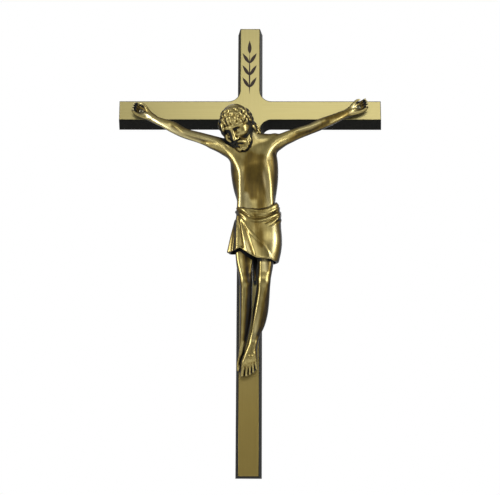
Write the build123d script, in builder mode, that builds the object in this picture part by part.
from build123d import *
import os
from math import atan2, cos, degrees, pi, sin

# A wall crucifix: a hollow cast cross, a cast figure nailed to it at the hands and feet, and a keyhole hanger in
# the back of the cross. Millimetres, +Z up, the front faces -Y, and left and right are the viewer's.
# The origin is the centre of the keyhole's round opening, in the plane of the wall.

# Cross, a hollow casting that is narrower at the front than at the wall
cross_height = 350.0
cross_span = 208.0
bar_width = 19.6
bar_depth = 18.0
side_draft = 2.1
crossbar_below_top = 70.0
inner_corner_radius = 6.9
front_edge_radius = 0.7
front_wall = 2.6
side_wall = 2.2

# Hanger, a steel plate with a keyhole, let into the back of the upright on two posts
keyhole_below_top = 30.0
keyhole_radius = 4.5
keyhole_slot_width = 4.6
keyhole_slot_rise = 9.0
hanger_thickness = 1.5
hanger_length = 46.0
hanger_corner_radius = 3.0
hanger_side_gap = 0.3
hanger_screw_spacing = 36.0
post_radius = 3.6
hanger_screw_radius = 1.5
hanger_screw_head_radius = 2.8
hanger_screw_length = 8.0
hanger_screw_slot_width = 0.8
hanger_screw_slot_depth = 0.6

# Nails, round-headed and threaded, with a washer and a nut inside the cross
nail_span = 168.0
left_nail_rise = -2.2
right_nail_rise = 0.9
nail_radius = 1.5
nail_head_radius = 2.2
nail_head_height = 1.5
nail_beyond_nut = 1.0
washer_radius = 3.5
washer_thickness = 0.5
nut_across_flats = 5.5
nut_thickness = 2.4
hand_thickness = 4.6
feet_thickness = 13.4
nail_seat_margin = 0.3
pad_radius = 3.0

# Fits and cutting
hole_clearance = 0.1
cut_overrun = 1.0

# Figure, sized by its height from the toes to the crown
figure_height = 204.0
hands_height_share = 1.02
feet_nail_share = (0.007, 0.08)

# Torso: across, forward, height, half width and half depth as shares of the figure's height, then squareness
torso_shares = (
    (0.028, 0.069, 0.570, 0.073, 0.048, 2.6),
    (0.027, 0.069, 0.610, 0.071, 0.046, 2.8),
    (0.026, 0.071, 0.657, 0.071, 0.046, 3.0),
    (0.024, 0.076, 0.716, 0.081, 0.052, 2.8),
    (0.021, 0.076, 0.775, 0.088, 0.054, 2.5),
    (0.012, 0.074, 0.828, 0.088, 0.050, 2.3),
    (0.005, 0.071, 0.865, 0.072, 0.041, 2.2),
    (0.005, 0.074, 0.887, 0.036, 0.028, 2.0),
)
torso_outline_points = 28
# Rows of across, forward, height, half width and half depth, as shares of the figure's height
left_leg_shares = (
    (-0.010, 0.072, 0.520, 0.038, 0.041),
    (-0.013, 0.076, 0.470, 0.035, 0.038),
    (-0.016, 0.083, 0.412, 0.030, 0.034),
    (-0.011, 0.096, 0.363, 0.025, 0.029),
    (-0.009, 0.098, 0.338, 0.024, 0.028),
    (-0.010, 0.091, 0.299, 0.021, 0.024),
    (-0.013, 0.078, 0.245, 0.020, 0.024),
    (-0.017, 0.064, 0.186, 0.017, 0.020),
    (-0.023, 0.051, 0.137, 0.014, 0.017),
    (-0.027, 0.042, 0.105, 0.014, 0.017),
    (-0.028, 0.034, 0.075, 0.016, 0.017),
    (-0.026, 0.026, 0.050, 0.018, 0.014),
    (-0.025, 0.022, 0.028, 0.016, 0.010),
)
right_leg_shares = (
    (0.054, 0.073, 0.515, 0.038, 0.041),
    (0.055, 0.078, 0.470, 0.035, 0.038),
    (0.054, 0.088, 0.412, 0.030, 0.034),
    (0.053, 0.103, 0.363, 0.027, 0.029),
    (0.054, 0.105, 0.338, 0.026, 0.028),
    (0.053, 0.098, 0.289, 0.024, 0.025),
    (0.047, 0.086, 0.235, 0.023, 0.026),
    (0.036, 0.074, 0.186, 0.021, 0.023),
    (0.025, 0.066, 0.147, 0.017, 0.019),
    (0.015, 0.061, 0.113, 0.016, 0.018),
    (0.010, 0.056, 0.085, 0.020, 0.018),
    (0.006, 0.048, 0.060, 0.024, 0.014),
    (0.004, 0.042, 0.040, 0.024, 0.010),
)
neck_shares = (
    (0.004, 0.072, 0.850, 0.034, 0.030),
    (-0.010, 0.088, 0.885, 0.029, 0.028),
    (-0.030, 0.115, 0.915, 0.027, 0.027),
)
# Knee caps: across, forward and height, then the radius
left_knee_share = (-0.009, 0.113, 0.341)
right_knee_share = (0.053, 0.119, 0.341)
knee_radius_share = 0.016

# Each toe from its root over its knuckle to its tip: across, forward and height, then its radius
left_toes_shares = (
    ((-0.034, 0.024, 0.034), (-0.036, 0.023, 0.020), (-0.037, 0.017, 0.008), 0.0065),
    ((-0.025, 0.024, 0.034), (-0.027, 0.023, 0.017), (-0.027, 0.016, 0.004), 0.0065),
    ((-0.016, 0.024, 0.034), (-0.017, 0.023, 0.018), (-0.017, 0.016, 0.005), 0.0060),
)
right_toes_shares = (
    ((-0.012, 0.046, 0.048), (-0.017, 0.042, 0.024), (-0.021, 0.032, 0.000), 0.0085),
    ((-0.001, 0.047, 0.048), (-0.004, 0.044, 0.024), (-0.006, 0.033, 0.002), 0.0068),
    ((0.009, 0.047, 0.048), (0.008, 0.044, 0.028), (0.007, 0.033, 0.007), 0.0064),
    ((0.018, 0.046, 0.050), (0.018, 0.043, 0.033), (0.017, 0.033, 0.015), 0.0061),
    ((0.026, 0.044, 0.054), (0.027, 0.041, 0.040), (0.027, 0.033, 0.026), 0.0057),
)

# The run of a finger, toe or lock: shares of its length, and its radius there
tip_shares = ((0.0, 1.0), (0.4, 1.0), (0.75, 0.94), (0.93, 0.72), (1.0, 0.36))

# Arms, from the shoulder to the nail: shares of that line, then sag, half width and half depth as shares of height
left_shoulder_share = (-0.040, 0.070, 0.830)
left_arm_shares = (
    (0.00, 0.000, 0.034, 0.032),
    (0.13, -0.002, 0.032, 0.031),
    (0.26, -0.008, 0.027, 0.028),
    (0.38, -0.013, 0.024, 0.025),
    (0.55, -0.020, 0.020, 0.020),
    (0.73, -0.016, 0.018, 0.018),
    (0.91, -0.012, 0.0135, 0.012),
)
right_shoulder_share = (0.045, 0.070, 0.846)
right_arm_shares = (
    (0.00, 0.000, 0.034, 0.032),
    (0.13, 0.002, 0.033, 0.031),
    (0.26, 0.002, 0.029, 0.029),
    (0.38, 0.000, 0.026, 0.026),
    (0.55, -0.002, 0.021, 0.021),
    (0.73, 0.000, 0.019, 0.018),
    (0.91, 0.001, 0.014, 0.012),
)

# Hands, in shares of the hand's length: along from the nail, half width and half depth
hand_length_share = 0.075
hand_forward_share = 0.012
palm_shares = (
    (-0.72, 0.17, 0.15),
    (-0.40, 0.23, 0.17),
    (0.00, 0.30, 0.17),
    (0.30, 0.29, 0.14),
)
finger_across_shares = (-0.22, -0.08, 0.07, 0.21)
finger_root_shares = (0.24, 0.30, 0.31, 0.27)
# Along the hand and towards the viewer, from the root of a finger to its middle and its tip
finger_middle_shares = (0.28, 0.05)
finger_tip_shares = (0.43, 0.27)
finger_radius_share = 0.075
# Along the hand, across it and towards the viewer, for the root, middle and tip of the thumb
thumb_shares = ((-0.34, 0.14, 0.02), (-0.14, 0.30, 0.12), (0.06, 0.37, 0.16))
thumb_radius_share = 0.085
left_hand_angle = 147.0
right_hand_angle = 29.0

# Head, in its own frame: bowed forward, tilted to the left and turned to the left
head_centre_share = (-0.044, 0.132, 0.915)
head_bow = 42.0
head_tilt = -26.0
head_turn = -18.0
head_height = 31.0
# Rows of height, forward, half width and half depth, as shares of the head's height
skull_shares = (
    (-0.50, 0.20, 0.10, 0.08),
    (-0.42, 0.17, 0.20, 0.20),
    (-0.25, 0.09, 0.27, 0.31),
    (0.00, 0.03, 0.31, 0.38),
    (0.20, 0.00, 0.32, 0.39),
    (0.36, -0.03, 0.27, 0.33),
    (0.46, -0.04, 0.16, 0.20),
    (0.50, -0.04, 0.05, 0.06),
)
hair_shares = (
    (-0.52, -0.22, 0.30, 0.14),
    (-0.35, -0.16, 0.37, 0.23),
    (-0.10, -0.08, 0.40, 0.34),
    (0.15, -0.03, 0.41, 0.43),
    (0.34, -0.04, 0.37, 0.40),
    (0.47, -0.05, 0.24, 0.27),
    (0.54, -0.05, 0.07, 0.08),
)
beard_shares = (
    (-0.62, 0.26, 0.05, 0.05),
    (-0.52, 0.25, 0.14, 0.12),
    (-0.38, 0.20, 0.22, 0.18),
    (-0.26, 0.14, 0.25, 0.22),
)
face_opening_share = (0.50, 0.62)
face_opening_drop_share = 0.10
nose_shares = ((0.40, 0.06), (0.47, -0.05), (0.51, -0.14))
nose_radius_share = 0.05
# Locks of hair on the neck: across, forward and height of each end and the middle
locks_shares = (
    ((-0.34, 0.02, -0.10), (-0.42, 0.02, -0.34), (-0.36, 0.10, -0.58)),
    ((0.36, 0.00, -0.05), (0.46, -0.04, -0.30), (0.42, 0.02, -0.56)),
    ((0.34, -0.08, -0.10), (0.40, -0.14, -0.36), (0.54, -0.12, -0.58)),
)
lock_radius_share = 0.10

# Loincloth: rows of across, forward, height, half width and half depth, as shares of the figure's height
cloth_shares = (
    (0.028, 0.071, 0.657, 0.071, 0.052),
    (0.031, 0.071, 0.613, 0.081, 0.058),
    (0.036, 0.071, 0.569, 0.085, 0.062),
    (0.028, 0.074, 0.505, 0.086, 0.064),
    (0.018, 0.076, 0.446, 0.091, 0.066),
    (0.015, 0.078, 0.392, 0.094, 0.067),
)
cloth_fold_share = 0.035
cloth_fold_count = 9
cloth_fold_turn = 0.35
cloth_outline_points = 36
# The waist and the hem, from left to right: across and height
waist_shares = ((-0.12, 0.632), (-0.047, 0.620), (0.025, 0.602), (0.103, 0.638), (0.16, 0.66))
hem_shares = ((0.16, 0.40), (0.106, 0.408), (0.025, 0.428), (-0.040, 0.465), (-0.075, 0.452), (-0.12, 0.45))

# Places that follow from the sizes above
top_z = keyhole_below_top
crossbar_z = top_z - crossbar_below_top
front_y = -bar_depth
front_inside_y = front_y + front_wall
cavity_depth = bar_depth - front_wall
draft_angle = degrees(atan2(side_draft, bar_depth))
toes_z = crossbar_z - hands_height_share * figure_height
nail_dome_radius = (nail_head_radius**2 + nail_head_height**2) / (2 * nail_head_height)
hanger_width = bar_width - 2 * side_wall - 2 * hanger_side_gap - 2 * side_draft * hanger_thickness / bar_depth


def figure_point(across_share, forward_share, height_share):
    """A place on the figure: across from the middle, forward of the cross, up from the toes."""
    return Vector(
        across_share * figure_height,
        front_y - forward_share * figure_height,
        toes_z + height_share * figure_height,
    )


def oval(centre, direction, half_width, half_depth):
    """An oval section across a limb, with its width in the plane of the cross and its depth towards the viewer."""
    across = Vector(0, -1, 0).cross(direction)
    with BuildSketch(Plane(origin=centre, x_dir=across, z_dir=direction)) as section:
        Ellipse(half_width, half_depth)
    return section.sketch


def limb(centres, half_widths, half_depths):
    """A limb lofted through oval sections, each square to the line through its neighbours."""
    last = len(centres) - 1
    sections = []
    for i, centre in enumerate(centres):
        direction = centres[min(i + 1, last)] - centres[max(i - 1, 0)]
        sections.append(oval(centre, direction, half_widths[i], half_depths[i]))
    with BuildPart() as shape:
        loft(sections=sections)
    return shape.part


def body_limb(stations_shares):
    """A limb from rows of across, forward, height, half width and half depth, as shares of the figure's height."""
    centres = [figure_point(*row[:3]) for row in stations_shares]
    half_widths = [row[3] * figure_height for row in stations_shares]
    half_depths = [row[4] * figure_height for row in stations_shares]
    return limb(centres, half_widths, half_depths)


def arm(shoulder, nail, stations_shares):
    """An arm that follows the line from the shoulder to the nail, with its sag."""
    reach = nail - shoulder
    centres = []
    for along_share, sag_share, _, _ in stations_shares:
        centres.append(shoulder + reach * along_share + Vector(0, 0, sag_share * figure_height))
    half_widths = [row[2] * figure_height for row in stations_shares]
    half_depths = [row[3] * figure_height for row in stations_shares]
    return limb(centres, half_widths, half_depths)


def tapered_bar(points, radius):
    """A finger, toe or lock of hair: a round bar bent through three points, with a rounded tip."""
    with BuildLine() as path:
        ThreePointArc(*points)
    side = (points[1] - points[0]).cross(points[2] - points[0])
    sections = []
    for along_share, radius_share in tip_shares:
        centre = path.line @ along_share
        with BuildSketch(Plane(origin=centre, x_dir=side, z_dir=path.line % along_share)) as section:
            Circle(radius_share * radius)
        sections.append(section.sketch)
    with BuildPart() as shape:
        loft(sections=sections)
    return shape.part


def hand(nail, angle, thumb_side):
    """A hand around its nail: a palm along the given angle, four fingers bent towards the viewer and a thumb."""
    length = hand_length_share * figure_height
    along = Vector(cos(angle * pi / 180), 0, sin(angle * pi / 180))
    across = Vector(0, -1, 0).cross(along)
    towards = Vector(0, -1, 0)
    centres = [nail + along * (row[0] * length) for row in palm_shares]
    half_widths = [row[1] * length for row in palm_shares]
    half_depths = [row[2] * length for row in palm_shares]
    with BuildPart() as shape:
        add(limb(centres, half_widths, half_depths))
        for across_share, root_share in zip(finger_across_shares, finger_root_shares):
            root = nail + along * (root_share * length) + across * (across_share * length)
            middle = root + along * (finger_middle_shares[0] * length) + towards * (finger_middle_shares[1] * length)
            tip = root + along * (finger_tip_shares[0] * length) + towards * (finger_tip_shares[1] * length)
            add(tapered_bar((root, middle, tip), finger_radius_share * length))
        thumb_points = []
        for along_share, across_share, towards_share in thumb_shares:
            sideways = across * (thumb_side * across_share * length)
            thumb_points.append(nail + along * (along_share * length) + sideways + towards * (towards_share * length))
        add(tapered_bar(thumb_points, thumb_radius_share * length))
    return shape.part


# Cross shell
left_nail = Vector(-nail_span / 2, front_y, crossbar_z + left_nail_rise)
right_nail = Vector(nail_span / 2, front_y, crossbar_z + right_nail_rise)
feet_nail_place = figure_point(feet_nail_share[0], 0, feet_nail_share[1])
nail_places = {
    "left_hand": (left_nail, hand_thickness),
    "right_hand": (right_nail, hand_thickness),
    "feet": (feet_nail_place, feet_thickness),
}
screw_places = {"upper": hanger_screw_spacing / 2, "lower": -hanger_screw_spacing / 2}

with BuildPart() as cross_shell:
    with BuildSketch(Plane.XZ) as back_outline:
        with Locations((0, top_z - cross_height / 2)):
            Rectangle(bar_width, cross_height)
        with Locations((0, crossbar_z)):
            Rectangle(cross_span, bar_width)
        inner_corners = back_outline.vertices().sort_by_distance((0, crossbar_z, 0))[:4]
        fillet(inner_corners, inner_corner_radius)
    extrude(amount=bar_depth, taper=draft_angle)
    front_edges = cross_shell.faces().sort_by(Axis.Y)[0].edges()
    fillet(front_edges, front_edge_radius)
    with BuildSketch(Plane.XZ):
        add(back_outline.sketch)
        offset(amount=-side_wall, mode=Mode.REPLACE)
    extrude(amount=cavity_depth, taper=draft_angle, mode=Mode.SUBTRACT)
    # Posts that the hanger plate is screwed down on
    with BuildSketch(Plane.XZ.offset(hanger_thickness)):
        with Locations(*[(0, place) for place in screw_places.values()]):
            Circle(post_radius)
    extrude(amount=cavity_depth - hanger_thickness + front_wall / 2)
    with BuildSketch(Plane.XZ.offset(hanger_thickness)):
        with Locations(*[(0, place) for place in screw_places.values()]):
            Circle(hanger_screw_radius + hole_clearance)
    extrude(amount=hanger_screw_length, mode=Mode.SUBTRACT)
    # Holes for the nails
    with BuildSketch(Plane.XZ.offset(cavity_depth - cut_overrun)):
        with Locations(*[(place.X, place.Z) for place, _ in nail_places.values()]):
            Circle(nail_radius + hole_clearance)
    extrude(amount=front_wall + 2 * cut_overrun, mode=Mode.SUBTRACT)
cross_shell.part.label = "cross_shell"

# Hanger plate, flush with the wall plane
with BuildPart() as hanger_plate:
    with BuildSketch(Plane.XZ):
        RectangleRounded(hanger_width, hanger_length, hanger_corner_radius)
        Circle(keyhole_radius, mode=Mode.SUBTRACT)
        with Locations((0, keyhole_slot_rise / 2)):
            SlotCenterToCenter(keyhole_slot_rise, keyhole_slot_width, rotation=90, mode=Mode.SUBTRACT)
    extrude(amount=hanger_thickness)
    for place in screw_places.values():
        with Locations(Location((0, 0, place), (-90, 0, 0))):
            CounterSinkHole(
                radius=hanger_screw_radius + hole_clearance,
                counter_sink_radius=hanger_screw_head_radius + hole_clearance,
                depth=hanger_thickness,
                counter_sink_angle=90,
            )
hanger_plate.part.label = "hanger_plate"

# Hanger screws, countersunk flush
hanger_screws = {}
for place_name, place in screw_places.items():
    with BuildPart() as hanger_screw:
        with BuildSketch(Plane(origin=(0, 0, place), x_dir=(1, 0, 0), z_dir=(0, 0, 1))):
            with BuildLine():
                Polyline(
                    (0, 0),
                    (hanger_screw_head_radius, 0),
                    (hanger_screw_radius, hanger_screw_radius - hanger_screw_head_radius),
                    (hanger_screw_radius, -hanger_screw_length),
                    (0, -hanger_screw_length),
                    close=True,
                )
            make_face()
        revolve(axis=Axis((0, 0, place), (0, 1, 0)))
        with BuildSketch(Plane.XZ):
            with Locations((0, place)):
                Rectangle(2 * hanger_screw_head_radius, hanger_screw_slot_width)
        extrude(amount=hanger_screw_slot_depth, mode=Mode.SUBTRACT)
    hanger_screw.part.label = place_name + "_hanger_screw"
    hanger_screws[place_name + "_hanger_screw"] = hanger_screw.part

# Nails, washers and nuts
nail_fittings = {}
inside_plane = Plane.XZ.offset(cavity_depth)
for place_name, (place, thickness) in nail_places.items():
    seat_y = front_y - thickness
    end_y = front_inside_y + washer_thickness + nut_thickness + nail_beyond_nut
    nail_plane = Plane(origin=(place.X, 0, place.Z), x_dir=(1, 0, 0), z_dir=(0, 0, 1))
    with BuildPart() as nail:
        with BuildSketch(nail_plane):
            with BuildLine():
                Line((0, end_y), (nail_radius, end_y))
                Line((nail_radius, end_y), (nail_radius, seat_y))
                Line((nail_radius, seat_y), (nail_head_radius, seat_y))
                RadiusArc((nail_head_radius, seat_y), (0, seat_y - nail_head_height), nail_dome_radius)
                Line((0, seat_y - nail_head_height), (0, end_y))
            make_face()
        revolve(axis=Axis((place.X, 0, place.Z), (0, 1, 0)))
    nail.part.label = place_name + "_nail"
    nail_fittings[place_name + "_nail"] = nail.part
    with BuildPart() as washer:
        with BuildSketch(inside_plane):
            with Locations((place.X, place.Z)):
                Circle(washer_radius)
                Circle(nail_radius + hole_clearance, mode=Mode.SUBTRACT)
        extrude(amount=-washer_thickness)
    washer.part.label = place_name + "_washer"
    nail_fittings[place_name + "_washer"] = washer.part
    with BuildPart() as nut:
        with BuildSketch(inside_plane.offset(-washer_thickness)):
            with Locations((place.X, place.Z)):
                RegularPolygon(nut_across_flats / 2, 6, major_radius=False)
                Circle(nail_radius + hole_clearance, mode=Mode.SUBTRACT)
        extrude(amount=-nut_thickness)
    nut.part.label = place_name + "_nut"
    nail_fittings[place_name + "_nut"] = nut.part

# Torso, lofted through sections that are squarer at the waist than at the shoulders
torso_sections = []
for across_share, forward_share, height_share, half_width_share, half_depth_share, squareness in torso_shares:
    centre = figure_point(across_share, forward_share, height_share)
    outline = []
    for step in range(torso_outline_points):
        turn = 2 * pi * step / torso_outline_points
        swell = (abs(cos(turn)) ** squareness + abs(sin(turn)) ** squareness) ** (-1 / squareness)
        outline.append((
            half_width_share * figure_height * swell * cos(turn),
            half_depth_share * figure_height * swell * sin(turn),
        ))
    with BuildSketch(Plane(origin=centre, x_dir=(1, 0, 0), z_dir=(0, 0, 1))) as torso_section:
        with BuildLine():
            Spline(*outline, periodic=True)
        make_face()
    torso_sections.append(torso_section.sketch)
with BuildPart() as torso:
    loft(sections=torso_sections)

# Loincloth, a folded skirt between the waist line and the hem line
cloth_sections = []
for i, (across_share, forward_share, height_share, half_width_share, half_depth_share) in enumerate(cloth_shares):
    centre = figure_point(across_share, forward_share, height_share)
    outline = []
    for step in range(cloth_outline_points):
        turn = 2 * pi * step / cloth_outline_points
        swell = 1 + cloth_fold_share * cos(cloth_fold_count * turn + cloth_fold_turn * i)
        outline.append((
            half_width_share * figure_height * swell * cos(turn),
            half_depth_share * figure_height * swell * sin(turn),
        ))
    with BuildSketch(Plane(origin=centre, x_dir=(1, 0, 0), z_dir=(0, 0, 1))) as cloth_section:
        with BuildLine():
            Spline(*outline, periodic=True)
        make_face()
    cloth_sections.append(cloth_section.sketch)
with BuildPart() as loincloth:
    loft(sections=cloth_sections)
    with BuildSketch(Plane.XZ.offset(bar_depth)):
        with BuildLine():
            waist = Spline(*[(x * figure_height, toes_z + z * figure_height) for x, z in waist_shares])
            hem = Spline(*[(x * figure_height, toes_z + z * figure_height) for x, z in hem_shares])
            Line(waist @ 1, hem @ 0)
            Line(hem @ 1, waist @ 0)
        make_face()
    extrude(amount=figure_height, mode=Mode.INTERSECT)

# Head with its hair and beard
head_place = figure_point(*head_centre_share)
head_plane = Plane(Location(tuple(head_place), (head_bow, head_tilt, head_turn)))


def head_point(across_share, forward_share, height_share):
    """A place on the head in its own frame."""
    return head_plane.from_local_coords(
        Vector(across_share * head_height, -forward_share * head_height, height_share * head_height)
    )


def head_loft(stations_shares):
    """A shape lofted up the head, from rows of height, forward, half width and half depth."""
    sections = []
    for height_share, forward_share, half_width_share, half_depth_share in stations_shares:
        centre = head_point(0, forward_share, height_share)
        with BuildSketch(Plane(origin=centre, x_dir=head_plane.x_dir, z_dir=head_plane.z_dir)) as section:
            Ellipse(half_width_share * head_height, half_depth_share * head_height)
        sections.append(section.sketch)
    with BuildPart() as shape:
        loft(sections=sections)
    return shape.part


with BuildPart() as head:
    add(head_loft(hair_shares))
    face_centre = head_point(0, 0, -face_opening_drop_share)
    with BuildSketch(Plane(origin=face_centre, x_dir=head_plane.x_dir, z_dir=-head_plane.y_dir)):
        Ellipse(face_opening_share[0] * head_height / 2, face_opening_share[1] * head_height / 2)
    extrude(amount=head_height, mode=Mode.SUBTRACT)
    add(head_loft(skull_shares))
    add(head_loft(beard_shares))
    add(tapered_bar([head_point(0, *row) for row in nose_shares], nose_radius_share * head_height))
    for lock_shares in locks_shares:
        add(tapered_bar([head_point(*row) for row in lock_shares], lock_radius_share * head_height))

# Figure, one casting
left_palm = left_nail + Vector(0, -hand_forward_share * figure_height, 0)
right_palm = right_nail + Vector(0, -hand_forward_share * figure_height, 0)
with BuildPart() as corpus:
    add(loincloth.part)
    add(torso.part)
    add(arm(figure_point(*left_shoulder_share), left_palm, left_arm_shares))
    add(arm(figure_point(*right_shoulder_share), right_palm, right_arm_shares))
    add(body_limb(neck_shares))
    add(body_limb(left_leg_shares))
    add(body_limb(right_leg_shares))
    with Locations(figure_point(*left_knee_share), figure_point(*right_knee_share)):
        Sphere(knee_radius_share * figure_height)
    add(head.part)
    add(hand(left_palm, left_hand_angle, -1))
    add(hand(right_palm, right_hand_angle, 1))
    for *toe_points_shares, radius_share in left_toes_shares + right_toes_shares:
        add(tapered_bar([figure_point(*row) for row in toe_points_shares], radius_share * figure_height))
    # Pads on the back that rest on the cross, and flat seats for the nail heads
    for place, thickness in nail_places.values():
        with BuildSketch(Plane.XZ.offset(bar_depth)):
            with Locations((place.X, place.Z)):
                Circle(pad_radius)
        extrude(amount=thickness)
        with BuildSketch(Plane.XZ.offset(bar_depth + thickness)):
            with Locations((place.X, place.Z)):
                Circle(nail_head_radius + nail_seat_margin)
        extrude(amount=figure_height, mode=Mode.SUBTRACT)
        with BuildSketch(Plane.XZ):
            with Locations((place.X, place.Z)):
                Circle(nail_radius + hole_clearance)
        extrude(amount=figure_height, mode=Mode.SUBTRACT)
    # Nothing of the figure is behind the front of the cross
    with BuildSketch(Plane.XZ.offset(bar_depth)):
        with Locations((0, crossbar_z)):
            Rectangle(cross_height, 2 * cross_height)
    extrude(amount=-bar_depth, mode=Mode.SUBTRACT)
corpus.part.label = "corpus"

os.makedirs("parts", exist_ok=True)
export_step(cross_shell.part, "parts/cross_shell.step")
export_step(corpus.part, "parts/corpus.step")
export_step(hanger_plate.part, "parts/hanger_plate.step")
for name, part in {**hanger_screws, **nail_fittings}.items():
    export_step(part, "parts/" + name + ".step")
